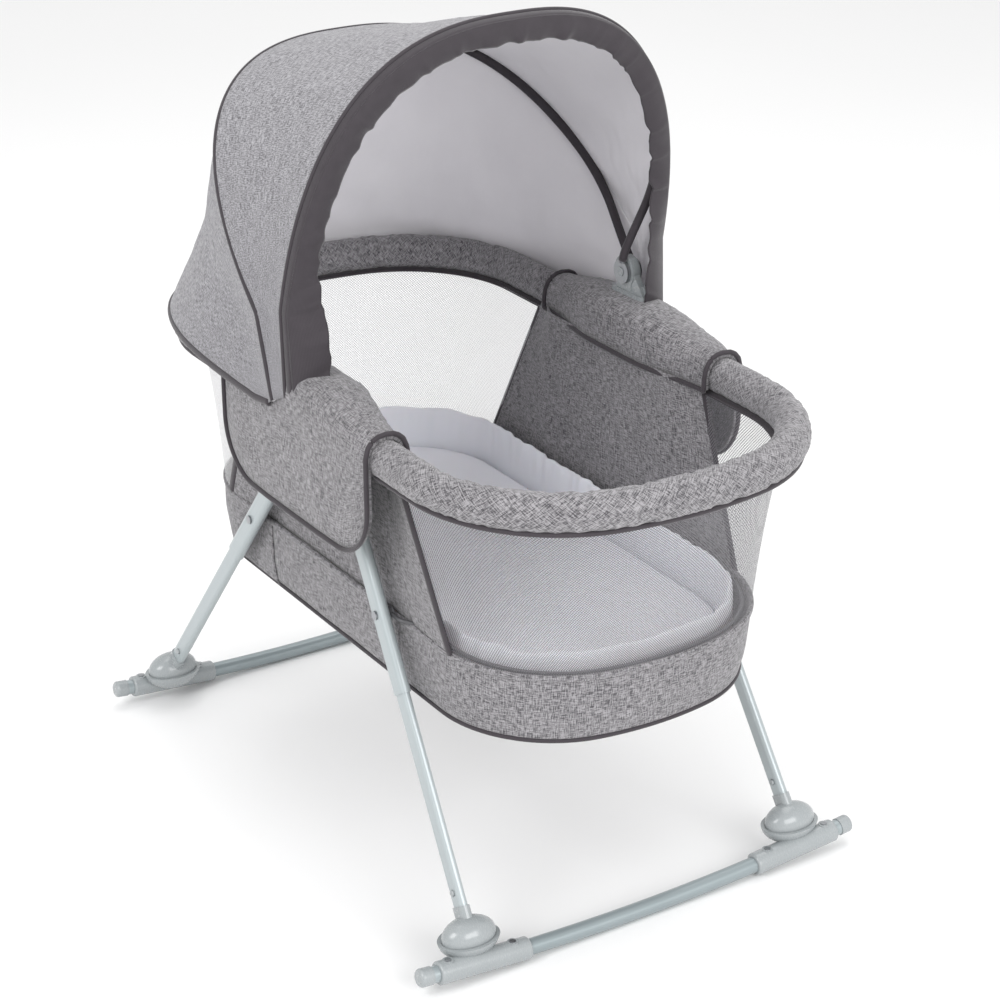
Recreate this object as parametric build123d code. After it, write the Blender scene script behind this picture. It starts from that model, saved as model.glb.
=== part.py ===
from build123d import *
from math import atan2, cos, hypot, pi, radians, sin, sqrt, tan
import os

# Bassinet on a folding rocker stand.
# +X points to the foot end, -X to the canopy, -Y is the near side, +Z is up.
# The origin lies on the floor, midway between the two side hubs.

# ---- driving dimensions, millimetres -----------------------------------------
RAIL_Y = 224.5            # side tubes of the oval top rail, from the middle plane
RAIL_Z = 556.0            # height of the rail and of its pivots
RAIL_REACH = 428.0        # end of each half rail, from the middle
RAIL_R = 10.0             # rail tube radius
RAIL_WALL = 1.4
PAD_RY = 20.0             # padded rail cover, half width and half height
PAD_RZ = 22.0
RAIL_TUBE_START = 40.0    # the half rails begin this far from their pivot
FLAP_X = (-150.0, 182.0)  # the side flaps cover the hubs over this length
FLAP_BOTTOM = 432.0
CORNER_RATIO = 0.765      # corner radius of every oval, over its half width
END_RATIO = 2.03          # end radius of every oval, over its half width

LEG_PIVOT_X = 15.0
LEG_PIVOT_Z = 540.0
LEG_Y = 203.0             # middle plane of the legs at the hub
LEG_W, LEG_T = 25.0, 14.0
LEG_WALL = 1.6
SWAGE = 320.0             # end of the upper leg tube, along the leg
SEAM_Z = 350.0            # height of the rivets that carry the floor hoops
BALL = {"foot": 343.0, "head": 396.0}
BALL_Y, BALL_Z = 224.0, 45.0
BALL_R, BALL_RY = 21.5, 33.0
CUP_GAP = 0.4

ROCKER_OFFSET = 18.0      # the rocker tube lies outboard of the ball centres
ROCKER_R = 9.5
ROCKER_HALF = 300.0
ROCKER_LIFT = 16.0        # how much the rocker tips stand above the middle
CAP_LENGTH = 16.0

FLOOR_Z, BAND_TOP, MESH_TOP = 258.0, 345.0, 533.5
FLOOR_HALF, WALL_SPREAD = 187.0, 18.0     # basket half width below, and its growth
FLOOR_REACH, REACH_SPREAD = 378.0, 44.0   # basket half length below, and its growth
WALL = 4.0
MIDDLE = 150.0            # half length of the middle part of the band and floor
PANEL_TOP, PANEL_BOTTOM = 168.0, 258.0    # half lengths of the side panels
PANEL_Y = (185.0, 189.0)

DISC_X, DISC_Z, DISC_R = -3.0, 631.0, 19.0
BOW_R = 4.0
CANOPY_SKIN = 3.5
FRONT = {"tilt": 13.0, "half": 255.0, "height": 366.0}
MID = {"tilt": -49.0, "half": 262.0, "height": 395.0}
HEM = {"tilt": -90.0, "half": 262.0, "height": 463.0}
HEM_Z = 550.0

SIDES = {"foot": 1, "head": -1}


def save(name, shape):
    shape.label = name
    export_step(shape, f"parts/{name}.step")


def mirrored(shape):
    return mirror(shape, about=Plane.XZ)


def save_pair(name, far):
    save(f"{name}_far", far)
    save(f"{name}_near", mirrored(far))


def save_group(name, far):
    save(name, Compound([*far.solids(), *mirrored(far).solids()]))


def rod(centre, radius, y0, y1):
    """Cylinder along Y between two heights of Y."""
    plane = Plane(origin=(centre[0], y0, centre[1]), x_dir=(1, 0, 0), z_dir=(0, 1, 0))
    return extrude(plane * Circle(radius), amount=y1 - y0)


def block(x0, x1, y0, y1, z0, z1):
    at = Pos((x0 + x1) / 2, (y0 + y1) / 2, (z0 + z1) / 2)
    return at * Box(x1 - x0, y1 - y0, z1 - z0)


def side_plate(points, y0, y1):
    """Flat plate whose outline is given in X and Z."""
    face = make_face(Polyline(*[(x, y0, z) for x, z in points], close=True))
    return extrude(face, amount=y1 - y0, dir=(0, 1, 0))


# ---- oval outline: straight side, corner arc, wide end arc ---------------------
def corner_arc(half, reach):
    """Three points of the corner arc: its start, middle and end."""
    corner, end = CORNER_RATIO * half, END_RATIO * half
    rise = half - corner
    run = sqrt((end - corner) ** 2 - rise ** 2)
    centre = reach - end + run
    last = atan2(rise, run)
    turns = (pi / 2, (pi / 2 + last) / 2, last)
    return [(centre + corner * cos(a), rise + corner * sin(a)) for a in turns]


def u_edges(side, half, reach, start, z):
    a, b, c = [(side * x, y) for x, y in corner_arc(half, reach)]
    tip = (side * reach, 0, z)
    return [
        Line((side * start, -half, z), (a[0], -half, z)),
        ThreePointArc((a[0], -a[1], z), (b[0], -b[1], z), (c[0], -c[1], z)),
        ThreePointArc((c[0], -c[1], z), tip, (c[0], c[1], z)),
        ThreePointArc((c[0], c[1], z), (b[0], b[1], z), (a[0], a[1], z)),
        Line((a[0], half, z), (side * start, half, z)),
    ]


def u_path(side, half, reach, start, z):
    return Wire(u_edges(side, half, reach, start, z))


def d_face(side, half, reach, start, z):
    closing = Line((side * start, half, z), (side * start, -half, z))
    return make_face(u_edges(side, half, reach, start, z) + [closing])


def swept(path, section):
    """Sweep a section that is drawn with X across the path and Y upwards."""
    plane = Plane(origin=path @ 0, x_dir=Vector(0, 0, 1).cross(path % 0), z_dir=path % 0)
    return sweep(plane * section, path=path)


def tube(path, radius, wall):
    return swept(path, Circle(radius)) - swept(path, Circle(radius - wall))


def basket_size(z, inset=0.0):
    t = (z - FLOOR_Z) / (MESH_TOP - FLOOR_Z)
    return FLOOR_HALF + WALL_SPREAD * t - inset, FLOOR_REACH + REACH_SPREAD * t - inset


def basket_half(side, z0, z1, start, inset=0.0):
    """Solid half of the tapering basket, from start to its end."""
    faces = []
    for z in (z0, z1):
        half, reach = basket_size(z, inset)
        faces.append(d_face(side, half, reach, start, z))
    return loft(faces)


# ---- side hubs ----------------------------------------------------------------
HUB_INNER = (189.5, 195.5)
HUB_BLOCK_Y = 210.3
HUB_OUTER = (235.0, 241.0)
FOOT_LAYER = (214.6, 224.3)   # half-lapped rail knuckles, foot inside and head outside
HEAD_LAYER = (224.7, 234.4)
LEG_LAYER = (196.2, 209.8)
PIN_R, BORE_R = 4.0, 4.2
BUTTON_R = 12.6


def hub():
    inner_sketch = Pos(0, 551) * RectangleRounded(88, 82, 20)
    plane = Plane(origin=(0, HUB_INNER[0], 0), x_dir=(1, 0, 0), z_dir=(0, -1, 0))
    body = extrude(plane * inner_sketch, amount=-(HUB_INNER[1] - HUB_INNER[0]))
    body += block(-40, 40, HUB_INNER[1], HUB_BLOCK_Y, 558, 588)
    body += rod((0, RAIL_Z), 6.8, HUB_INNER[1], HUB_BLOCK_Y)
    body += block(17, 36, HUB_BLOCK_Y, HUB_OUTER[0], 574, 588)
    outer_sketch = Pos(0, RAIL_Z) * RectangleRounded(76, 70, 18)
    plane = Plane(origin=(0, HUB_OUTER[0], 0), x_dir=(1, 0, 0), z_dir=(0, -1, 0))
    body += extrude(plane * outer_sketch, amount=-(HUB_OUTER[1] - HUB_OUTER[0]))
    body -= rod((0, RAIL_Z), BUTTON_R + 0.4, HUB_OUTER[0] + 1.2, HUB_OUTER[1] + 1)
    body -= rod((0, RAIL_Z), PIN_R, HUB_INNER[0] - 1, HUB_OUTER[0] + 2)
    for x in (-LEG_PIVOT_X, LEG_PIVOT_X):
        body -= rod((x, LEG_PIVOT_Z), PIN_R, HUB_INNER[0] - 1, HUB_INNER[1] + 1)
    return body


def hub_pins():
    pins = rod((0, RAIL_Z), PIN_R, HUB_INNER[0], HUB_OUTER[0] + 1.2)
    for x in (-LEG_PIVOT_X, LEG_PIVOT_X):
        pins += rod((x, LEG_PIVOT_Z), PIN_R, HUB_INNER[0], LEG_LAYER[1])
        pins += rod((x, LEG_PIVOT_Z), PIN_R + 2.5, LEG_LAYER[1] + 0.3, LEG_LAYER[1] + 2.3)
        pins += rod((x, LEG_PIVOT_Z), PIN_R, LEG_LAYER[1], LEG_LAYER[1] + 0.3)
    return pins


def fold_button():
    face_y = HUB_OUTER[0] + 2.6
    button = rod((0, RAIL_Z), BUTTON_R, face_y, HUB_OUTER[1] + 2.2)
    return fillet(button.edges().group_by(Axis.Y)[-1], 1.2)


# ---- half rails ---------------------------------------------------------------
def rail_tube(side):
    path = u_path(side, RAIL_Y, RAIL_REACH, RAIL_TUBE_START, RAIL_Z)
    return tube(path, RAIL_R, RAIL_WALL)


def rail_pad(side):
    start = FLAP_X[1] + 2 if side > 0 else -FLAP_X[0] + 2
    path = u_path(side, RAIL_Y, RAIL_REACH, start, RAIL_Z)
    return swept(path, Ellipse(PAD_RY, PAD_RZ)) - swept(path, Circle(RAIL_R))


def rail_knuckle(side, layer):
    """Disc round the pivot, flat tongue and round plug in the end of the tube."""
    body = rod((0, RAIL_Z), 19.5, *layer)
    body += block(*sorted((side * 8, side * RAIL_TUBE_START)), *layer, RAIL_Z - 8, RAIL_Z + 8)
    plane = Plane(origin=(side * (RAIL_TUBE_START - 2), RAIL_Y, RAIL_Z), z_dir=(side, 0, 0))
    body += extrude(plane * Circle(RAIL_R - 0.2), amount=2)
    body += extrude(plane * Circle(RAIL_R - RAIL_WALL), amount=24)
    return body - rod((0, RAIL_Z), BORE_R, layer[0] - 1, layer[1] + 1)


# ---- canopy mounts, on the knuckles of the head rail -----------------------------
MOUNT_Z = (602.0, 608.0)
MOUNT_Y = (211.5, 234.4)


def mount_arm():
    return block(-8, 8, *HEAD_LAYER, RAIL_Z + 12, MOUNT_Z[0])


def head_knuckle():
    body = rail_knuckle(-1, HEAD_LAYER) + mount_arm()
    return body - rod((0, RAIL_Z), BORE_R, HEAD_LAYER[0] - 1, HEAD_LAYER[1] + 1)


def canopy_mount():
    middle = (MOUNT_Y[0] + MOUNT_Y[1]) / 2
    base = block(-30, 38, *MOUNT_Y, *MOUNT_Z)
    base = fillet(base.edges().filter_by(Axis.Z), 8)
    body = base + rod((DISC_X, DISC_Z), DISC_R, 213.6, 224.4)
    rib = side_plate([(10, MOUNT_Z[1]), (34, MOUNT_Z[1]), (26, 618), (12, 634)], 215, 223)
    body += rib + block(DISC_X - 14, DISC_X + 14, 213.6, 224.4, MOUNT_Z[1], DISC_Z - 8)
    body += rod((DISC_X, DISC_Z), 5.5, 207.6, 229.6)
    return body + rod((27, 612), 7.0, middle - 4, middle + 4)


# ---- fabric basket --------------------------------------------------------------
NOTCH = {"foot": (150.0, 205.0), "head": (158.0, 213.0)}


def hoop_notch():
    """Slots in the walls where the floor hoops pass from the legs to the inside."""
    cut = None
    for end, (x0, x1) in NOTCH.items():
        side = SIDES[end]
        for y0, y1 in ((176, 206), (-206, -176)):
            slot = block(*sorted((side * x0, side * x1)), y0, y1, 341.5, 354.5)
            cut = slot if cut is None else cut + slot
    return cut


def tub(side):
    outer = basket_half(side, FLOOR_Z, BAND_TOP, MIDDLE + 0.5)
    inner = basket_half(side, FLOOR_Z + WALL, BAND_TOP + 0.01, MIDDLE - 2, inset=WALL)
    return outer - inner - hoop_notch()


def middle_tub():
    low, high = basket_size(FLOOR_Z)[0], basket_size(BAND_TOP)[0]
    rise = (high - low) * WALL / (BAND_TOP - FLOOR_Z)
    section = [
        (-low, FLOOR_Z), (low, FLOOR_Z), (high, BAND_TOP), (high - WALL, BAND_TOP),
        (low + rise - WALL, FLOOR_Z + WALL), (WALL - low - rise, FLOOR_Z + WALL),
        (WALL - high, BAND_TOP), (-high, BAND_TOP),
    ]
    face = make_face(Polyline(*[(-MIDDLE, y, z) for y, z in section], close=True))
    return extrude(face, amount=2 * MIDDLE, dir=(1, 0, 0))


def mesh_window(side):
    """Mesh wall round one end, up to the slanted bindings of the side panels."""
    low = BAND_TOP + 0.4
    outer = basket_half(side, low, MESH_TOP, 60)
    inner = basket_half(side, low, MESH_TOP, 50, inset=3.0)
    wall = outer - inner
    edge = [(side * 40, low - 1), (side * (PANEL_BOTTOM + 2), low - 1),
            (side * (PANEL_TOP + 2), MESH_TOP + 1), (side * 40, MESH_TOP + 1)]
    return wall - side_plate(edge, -300, 300)


def side_panel():
    low = BAND_TOP + 0.4
    outline = [(-PANEL_BOTTOM, low), (PANEL_BOTTOM, low), (PANEL_TOP, 540), (-PANEL_TOP, 540)]
    return side_plate(outline, *PANEL_Y) - hoop_notch()


def flap():
    """Padded cover folded over the hub, with a long rounded outer leg."""
    top, inside = 601.0, 593.5
    section = [
        (181.5, 540.5), (181.5, 590), (192, top), (242, top), (252.5, 590),
        (252.5, FLAP_BOTTOM), (244.5, FLAP_BOTTOM), (244.5, inside), (189, inside),
        (189, 540.5),
    ]
    face = make_face(Polyline(*[(FLAP_X[0], y, z) for y, z in section], close=True))
    body = extrude(face, amount=FLAP_X[1] - FLAP_X[0], dir=(1, 0, 0))
    radius = 66.0
    for x, inward in ((FLAP_X[0], 1), (FLAP_X[1], -1)):
        corner = block(*sorted((x, x + inward * radius)), 240, 260,
                       FLAP_BOTTOM, FLAP_BOTTOM + radius)
        centre = (x + inward * radius, FLAP_BOTTOM + radius)
        body -= corner - rod(centre, radius, 238, 262)
    return body - block(-9, 9, HEAD_LAYER[0] - 1, HEAD_LAYER[1] + 1, inside - 8, top + 1)


# ---- floor hoops, pinned to the legs ----------------------------------------------
HOOP_R = 2.5
HOOP_HALF, HOOP_REACH, HOOP_Z = 181.5, 383.0, 345.0
EYE_Y = (199.6, 203.6)


def leg_direction(end):
    top = Vector(SIDES[end] * LEG_PIVOT_X, LEG_Y, LEG_PIVOT_Z)
    ball = Vector(SIDES[end] * BALL[end], BALL_Y, BALL_Z)
    return top, (ball - top).normalized(), (ball - top).length


def rivet_point(end):
    top, along, _ = leg_direction(end)
    return top + along * ((top.Z - SEAM_Z) / -along.Z)


def floor_hoop(end):
    side = SIDES[end]
    eye_x = rivet_point(end).X
    eye_y = sum(EYE_Y) / 2
    far_x = eye_x + side * 66
    stub = FilletPolyline(
        (eye_x + side * 6, eye_y, SEAM_Z), (eye_x + side * 24, eye_y, SEAM_Z),
        (eye_x + side * 46, HOOP_HALF, HOOP_Z), (far_x, HOOP_HALF, HOOP_Z), radius=10)
    body = swept(Wire(stub.edges()), Circle(HOOP_R))
    body += rod((eye_x, SEAM_Z), 7.0, *EYE_Y) - rod((eye_x, SEAM_Z), 3.6, 190, 210)
    loop = u_path(side, HOOP_HALF, HOOP_REACH, abs(far_x), HOOP_Z)
    return body + mirrored(body) + swept(loop, Circle(HOOP_R))


# ---- legs ---------------------------------------------------------------------
NECK = 32.0               # the lower tube ends this far from the ball centre
SNAP = 48.0               # snap button, from the ball centre


def leg_plane(end):
    top, along, _ = leg_direction(end)
    return Plane(origin=top, x_dir=Vector(0, 1, 0).cross(along), z_dir=along)


def leg_bar(end, width, thick, start, stop, corner):
    plane = leg_plane(end).offset(start)
    return extrude(plane * RectangleRounded(width, thick, corner), amount=stop - start)


def rivet_bore(end, radius):
    point = rivet_point(end)
    return rod((point.X, point.Z), radius, EYE_Y[0] - 4, point.Y + 30)


def leg_upper(end):
    inner_w, inner_t = LEG_W - 2 * LEG_WALL, LEG_T - 2 * LEG_WALL
    body = leg_bar(end, LEG_W, LEG_T, 24, SWAGE, 6.5)
    body -= leg_bar(end, inner_w, inner_t, 20, SWAGE + 4, 5.0)
    return body - rivet_bore(end, 3.4)


def snap_axis(end, outside):
    """Where the snap button stands on the leg, and the way it points."""
    top, along, length = leg_direction(end)
    point = top + along * (length - SNAP)
    plane = leg_plane(end)
    out = plane.y_dir if (plane.y_dir.Y > 0) == outside else -plane.y_dir
    return point, out


def leg_lower(end, outside):
    _, _, length = leg_direction(end)
    wide, thick = LEG_W - 2 * LEG_WALL - 0.3, LEG_T - 2 * LEG_WALL - 0.3
    body = leg_bar(end, wide, thick, SWAGE - 24, length - NECK, 4.8)
    body -= leg_bar(end, wide - 2.8, thick - 2.8, SWAGE - 30, length, 3.5)
    point, out = snap_axis(end, outside)
    hole = Plane(origin=point, z_dir=out) * Circle(4.0)
    return body - extrude(hole, amount=20)


def snap_button(end, outside):
    point, out = snap_axis(end, outside)
    plane = Plane(origin=point, z_dir=out).offset(0.4)
    button = extrude(plane * Circle(3.6), amount=7.4)
    tip = button.faces().sort_by_distance(point)[-1]
    return fillet(tip.edges(), 1.2)


def leg_knuckle(end):
    body = rod((SIDES[end] * LEG_PIVOT_X, LEG_PIVOT_Z), 14.3, *LEG_LAYER)
    inner_w, inner_t = LEG_W - 2 * LEG_WALL, LEG_T - 2 * LEG_WALL
    body += leg_bar(end, inner_w - 0.6, inner_t - 0.2, 4, 52, 4.6)
    bore = rod((SIDES[end] * LEG_PIVOT_X, LEG_PIVOT_Z), BORE_R, 190, 215)
    return body - bore


def spheroid(end, radius, half_length):
    """Ball stretched along Y, standing at the foot of a leg."""
    ball = scale(Sphere(radius), by=(1, half_length / radius, 1))
    away = Rot(0, 0, 90 - 90 * SIDES[end])
    return Pos(SIDES[end] * BALL[end], BALL_Y, BALL_Z) * away * ball


def leg_ball(end):
    """Moulded ball with the neck that closes the end of the leg."""
    _, _, length = leg_direction(end)
    wide, thick = LEG_W - 2 * LEG_WALL - 0.3, LEG_T - 2 * LEG_WALL - 0.3
    body = spheroid(end, BALL_R, BALL_RY)
    body += leg_bar(end, wide + 3.5, thick + 3.5, length - NECK, length - 12, 6.5)
    return body + leg_bar(end, wide - 3.0, thick - 3.0, length - NECK - 8, length - NECK, 3.2)


def leg_rivet(end):
    point = rivet_point(end)
    centre = (point.X, point.Z)
    outer = point.Y + LEG_T / 2
    pin = rod(centre, 3.3, EYE_Y[0] - 1.5, outer + 0.6)
    pin += rod(centre, 5.2, EYE_Y[0] - 2.6, EYE_Y[0] - 0.3)
    return pin + rod(centre, 5.2, outer + 0.5, outer + 2.4)


# ---- rockers ------------------------------------------------------------------
def rocker_x(end):
    return SIDES[end] * (BALL[end] + ROCKER_OFFSET)


def rocker_height(y):
    return ROCKER_R + ROCKER_LIFT * (y / ROCKER_HALF) ** 2


def rocker_arc(end, reach):
    x = rocker_x(end)
    points = [(x, y, rocker_height(y)) for y in (-reach, 0, reach)]
    return Wire([ThreePointArc(*points)])


def rocker_tube(end):
    path = rocker_arc(end, ROCKER_HALF - 4)
    section = Plane(origin=path @ 0, x_dir=(1, 0, 0), z_dir=path % 0)
    outer = sweep(section * Circle(ROCKER_R), path=path)
    return outer - sweep(section * Circle(ROCKER_R - 1.5), path=path)


def rocker_line(end, y0, y1, radius):
    """Straight cylinder along the rocker between two values of Y."""
    start = Vector(rocker_x(end), y0, rocker_height(y0))
    stop = Vector(rocker_x(end), y1, rocker_height(y1))
    plane = Plane(origin=start, x_dir=(1, 0, 0), z_dir=stop - start)
    return extrude(plane * Circle(radius), amount=(stop - start).length)


def rocker_solid(end):
    path = rocker_arc(end, ROCKER_HALF - 4)
    section = Plane(origin=path @ 0, x_dir=(1, 0, 0), z_dir=path % 0)
    return sweep(section * Circle(ROCKER_R), path=path)


def end_cap(end):
    cap = rocker_line(end, ROCKER_HALF - CAP_LENGTH, ROCKER_HALF, ROCKER_R + 1.1)
    cap = fillet(cap.edges().group_by(Axis.Y)[-1], 4)
    return cap - rocker_solid(end)


SCREW_Y = (178.0, 262.0)


def saddle(end):
    """Cup under the ball with two wings clamped over the rocker tube."""
    wings = rocker_line(end, 158, 276, ROCKER_R + 4.0)
    wings = fillet(wings.edges(), 3)
    cup = spheroid(end, BALL_R + 5, BALL_RY + 5)
    centre = SIDES[end] * BALL[end]
    cup &= block(centre - 40, centre + 40, 150, 300, 0, BALL_Z - 3)
    body = wings + cup
    bosses = [Pos(rocker_x(end), y, rocker_height(y) + 10.5) * Cylinder(6.5, 7) for y in SCREW_Y]
    body += bosses
    body -= spheroid(end, BALL_R + CUP_GAP, BALL_RY + CUP_GAP)
    body -= rocker_solid(end)
    for screw in saddle_screws(end):
        body -= screw
    return max(body.solids(), key=lambda solid: solid.volume)


def saddle_screws(end):
    screws = []
    for y in SCREW_Y:
        top = rocker_height(y) + 14
        at = Pos(rocker_x(end), y, top)
        screws.append(at * Cylinder(3.6, 2.4) + at * Pos(0, 0, -2.2) * Cylinder(1.9, 3.4))
    return screws


# ---- canopy -------------------------------------------------------------------
ARCH_POWER = 2.6
HEM_POWER = 3.6


def bow_plane(tilt, z=DISC_Z):
    """Plane of a bow: local X runs along Y, local Y up along the tilted bow."""
    a = radians(tilt)
    return Plane(origin=(DISC_X, 0, z), x_dir=(0, 1, 0), z_dir=(cos(a), 0, -sin(a)))


def arch_point(half, height, power, turn):
    across = abs(cos(turn)) ** (2 / power)
    if cos(turn) < 0:
        across = -across
    return half * across, height * sin(turn) ** (2 / power)


def half_arch(bow, inset, foot, power=ARCH_POWER, steps=5, z=DISC_Z):
    """Far half of an arch, closed by the middle plane and a straight base at foot."""
    half, height = bow["half"] - inset, bow["height"] - inset
    side, top = (half, foot + 30), (0, height)
    first = 0.16
    turns = [first + (pi / 2 - first) * i / steps for i in range(1, steps)]
    points = [side] + [arch_point(half, height, power, a) for a in turns] + [top]
    edges = [Line((0, foot), (half, foot)), Line((half, foot), side),
             Spline(*points, tangents=[(0, 1), (-1, 0)]), Line(top, (0, foot))]
    return bow_plane(bow["tilt"], z) * make_face(edges)


def canopy_shell(rear, front, **rear_options):
    outer = loft([half_arch(rear, 0, 14, **rear_options), half_arch(front, 0, 14)])
    inner = loft([half_arch(rear, CANOPY_SKIN, 7, **rear_options),
                  half_arch(front, CANOPY_SKIN, 7)])
    shell = outer - inner
    return shell + mirrored(shell)


def front_panel():
    """Front half of the hood, with the tails that hang outside the rail flaps."""
    outline = [(-30, 561), (-13, 566), (2, 640), (1, 662), (-12, 656), (-24, 600)]
    tail = side_plate(outline, 255.0, 258.2)
    return canopy_shell(MID, FRONT) + tail + mirrored(tail)


def rear_panel():
    return canopy_shell(HEM, MID, power=HEM_POWER, z=HEM_Z)


def smooth_path(points):
    """Straight runs joined by arcs as large as the shorter run beside each allows."""
    radii = []
    for a, b, c in zip(points, points[1:], points[2:]):
        u, v = (b[0] - a[0], b[1] - a[1]), (c[0] - b[0], c[1] - b[1])
        turn = abs(atan2(u[0] * v[1] - u[1] * v[0], u[0] * v[0] + u[1] * v[1]))
        radii.append(0.45 * min(hypot(*u), hypot(*v)) / tan(turn / 2))
    return FilletPolyline(*points, radius=radii)


def bow(size, socket_y, layer):
    """Wire arch with a round eye at each foot."""
    inset = CANOPY_SKIN + BOW_R + 1.5
    half, height = size["half"] - inset, size["height"] - inset
    turns = [0.25 + (pi - 0.5) * i / 10 for i in range(11)]
    points = [(socket_y, 13), (socket_y + 2, 34)]
    points += [arch_point(half, height, ARCH_POWER, a) for a in turns]
    points += [(-socket_y - 2, 34), (-socket_y, 13)]
    path = Wire((bow_plane(size["tilt"]) * smooth_path(points)).edges())
    section = Plane(origin=path @ 0, z_dir=path % 0)
    body = sweep(section * Circle(BOW_R), path=path)
    for y0, y1 in (layer, (-layer[1], -layer[0])):
        body += rod((DISC_X, DISC_Z), 14.5, y0, y1) - rod((DISC_X, DISC_Z), 5.8, y0 - 1, y1 + 1)
    return body


def front_skirt():
    """Gathered strip that turns inwards behind the front edge."""
    across = bow_plane(FRONT["tilt"]).z_dir
    strip = extrude(half_arch(FRONT, 1, 22), amount=5, dir=across)
    strip -= extrude(half_arch(FRONT, 29, 12), amount=5, dir=across)
    strip = (strip + mirrored(strip)).solid()
    return Location(across * 5.5) * strip


# ---- mattress -----------------------------------------------------------------
def oval(half, reach, z0, z1):
    halves = d_face(1, half, reach, 0, z0) + d_face(-1, half, reach, 0, z0)
    return extrude(halves, amount=z1 - z0, dir=(0, 0, 1))


def mattress_pad():
    return oval(168.0, 360.0, FLOOR_Z + WALL + 0.5, 316.0)


def mattress_edge():
    outer = oval(178.5, 371.0, FLOOR_Z + WALL + 0.5, 364.0)
    return outer - oval(168.4, 360.4, FLOOR_Z, 370.0)


def main():
    os.makedirs("parts", exist_ok=True)
    save_pair("hub", hub())
    save_group("hub_pins", hub_pins())
    save_pair("fold_button", fold_button())
    save_pair("flap", flap())
    save_pair("side_panel", side_panel())
    save("tub_middle", middle_tub())
    save_group("head_rail_knuckles", head_knuckle())
    save_group("foot_rail_knuckles", rail_knuckle(1, FOOT_LAYER))
    save_group("canopy_mounts", canopy_mount())
    for end, side in SIDES.items():
        save(f"{end}_rail_tube", rail_tube(side))
        save(f"{end}_rail_pad", rail_pad(side))
        save(f"{end}_mesh", mesh_window(side))
        save(f"{end}_tub", tub(side))
        save(f"{end}_floor_hoop", floor_hoop(end))
        save_pair(f"{end}_leg_upper", leg_upper(end))
        save(f"{end}_leg_lower_far", leg_lower(end, False))
        save(f"{end}_leg_lower_near", mirrored(leg_lower(end, True)))
        save(f"{end}_snap_button_far", snap_button(end, False))
        save(f"{end}_snap_button_near", mirrored(snap_button(end, True)))
        save_pair(f"{end}_ball", leg_ball(end))
        save_group(f"{end}_leg_knuckles", leg_knuckle(end))
        save_group(f"{end}_leg_rivets", leg_rivet(end))
        save(f"{end}_rocker_tube", rocker_tube(end))
        save_group(f"{end}_rocker_saddles", saddle(end))
        save_group(f"{end}_rocker_caps", end_cap(end))
        screws = saddle_screws(end)
        save_group(f"{end}_saddle_screws", screws[0] + screws[1])
    save("mid_bow", bow(MID, 229.8, (225.0, 229.4)))
    save("front_bow", bow(FRONT, 208.4, (208.6, 213.0)))
    save("canopy_front_panel", front_panel())
    save("canopy_rear_panel", rear_panel())
    save("canopy_skirt", front_skirt())
    save("mattress_pad", mattress_pad())
    save("mattress_edge", mattress_edge())


main()
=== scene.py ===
import math

import bpy
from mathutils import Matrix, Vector, noise


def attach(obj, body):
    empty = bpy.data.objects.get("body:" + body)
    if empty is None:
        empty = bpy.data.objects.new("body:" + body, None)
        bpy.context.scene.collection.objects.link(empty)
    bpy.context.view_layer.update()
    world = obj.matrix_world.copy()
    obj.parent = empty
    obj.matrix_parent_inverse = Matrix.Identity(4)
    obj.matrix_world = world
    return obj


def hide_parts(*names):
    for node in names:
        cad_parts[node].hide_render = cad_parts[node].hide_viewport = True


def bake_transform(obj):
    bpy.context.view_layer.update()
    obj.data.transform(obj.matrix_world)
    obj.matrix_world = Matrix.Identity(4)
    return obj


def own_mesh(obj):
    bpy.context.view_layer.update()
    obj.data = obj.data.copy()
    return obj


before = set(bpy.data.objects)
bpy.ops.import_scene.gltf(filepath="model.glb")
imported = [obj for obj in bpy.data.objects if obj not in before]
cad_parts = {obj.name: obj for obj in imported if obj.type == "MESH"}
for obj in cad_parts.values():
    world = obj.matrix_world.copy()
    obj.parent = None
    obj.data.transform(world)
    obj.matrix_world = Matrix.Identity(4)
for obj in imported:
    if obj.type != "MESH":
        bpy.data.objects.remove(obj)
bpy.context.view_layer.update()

# ---- camera, floor and light --------------------------------------------------
# A long lens stands at the foot end, off the near side and a little above the rail.
# The room is a white cove: a pale floor, a bright even sky and three large soft boxes.
AIM = Vector((0.0372, 0.0123, 0.3953))
AZIMUTH, ELEVATION = math.radians(57.43), math.radians(24.34)
DISTANCE = 3.0325
scene = bpy.context.scene
back = Vector((math.sin(AZIMUTH) * math.cos(ELEVATION),
               -math.cos(AZIMUTH) * math.cos(ELEVATION), math.sin(ELEVATION)))
camera = bpy.data.objects.new("camera", bpy.data.cameras.new("camera"))
scene.collection.objects.link(camera)
camera.data.sensor_width = 36.0
camera.data.lens = 92.5
camera.location = AIM + back * DISTANCE
camera.rotation_mode = "QUATERNION"
camera.rotation_quaternion = (-back).to_track_quat("-Z", "Y")
scene.camera = camera


def soft_box(name, place, size, watts):
    lamp = bpy.data.lights.new(name, "AREA")
    lamp.shape = "RECTANGLE"
    lamp.size, lamp.size_y = size
    lamp.energy = watts
    holder = bpy.data.objects.new(name, lamp)
    scene.collection.objects.link(holder)
    holder.location = place
    holder.rotation_mode = "QUATERNION"
    holder.rotation_quaternion = (AIM - Vector(place)).to_track_quat("-Z", "Y")


soft_box("key_box", (0.9, -3.0, 2.7), (1.8, 1.8), 62)
soft_box("fill_box", (3.1, 0.3, 1.5), (2.2, 1.6), 52)
soft_box("top_box", (-0.6, 0.6, 3.4), (2.4, 2.4), 34)

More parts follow.
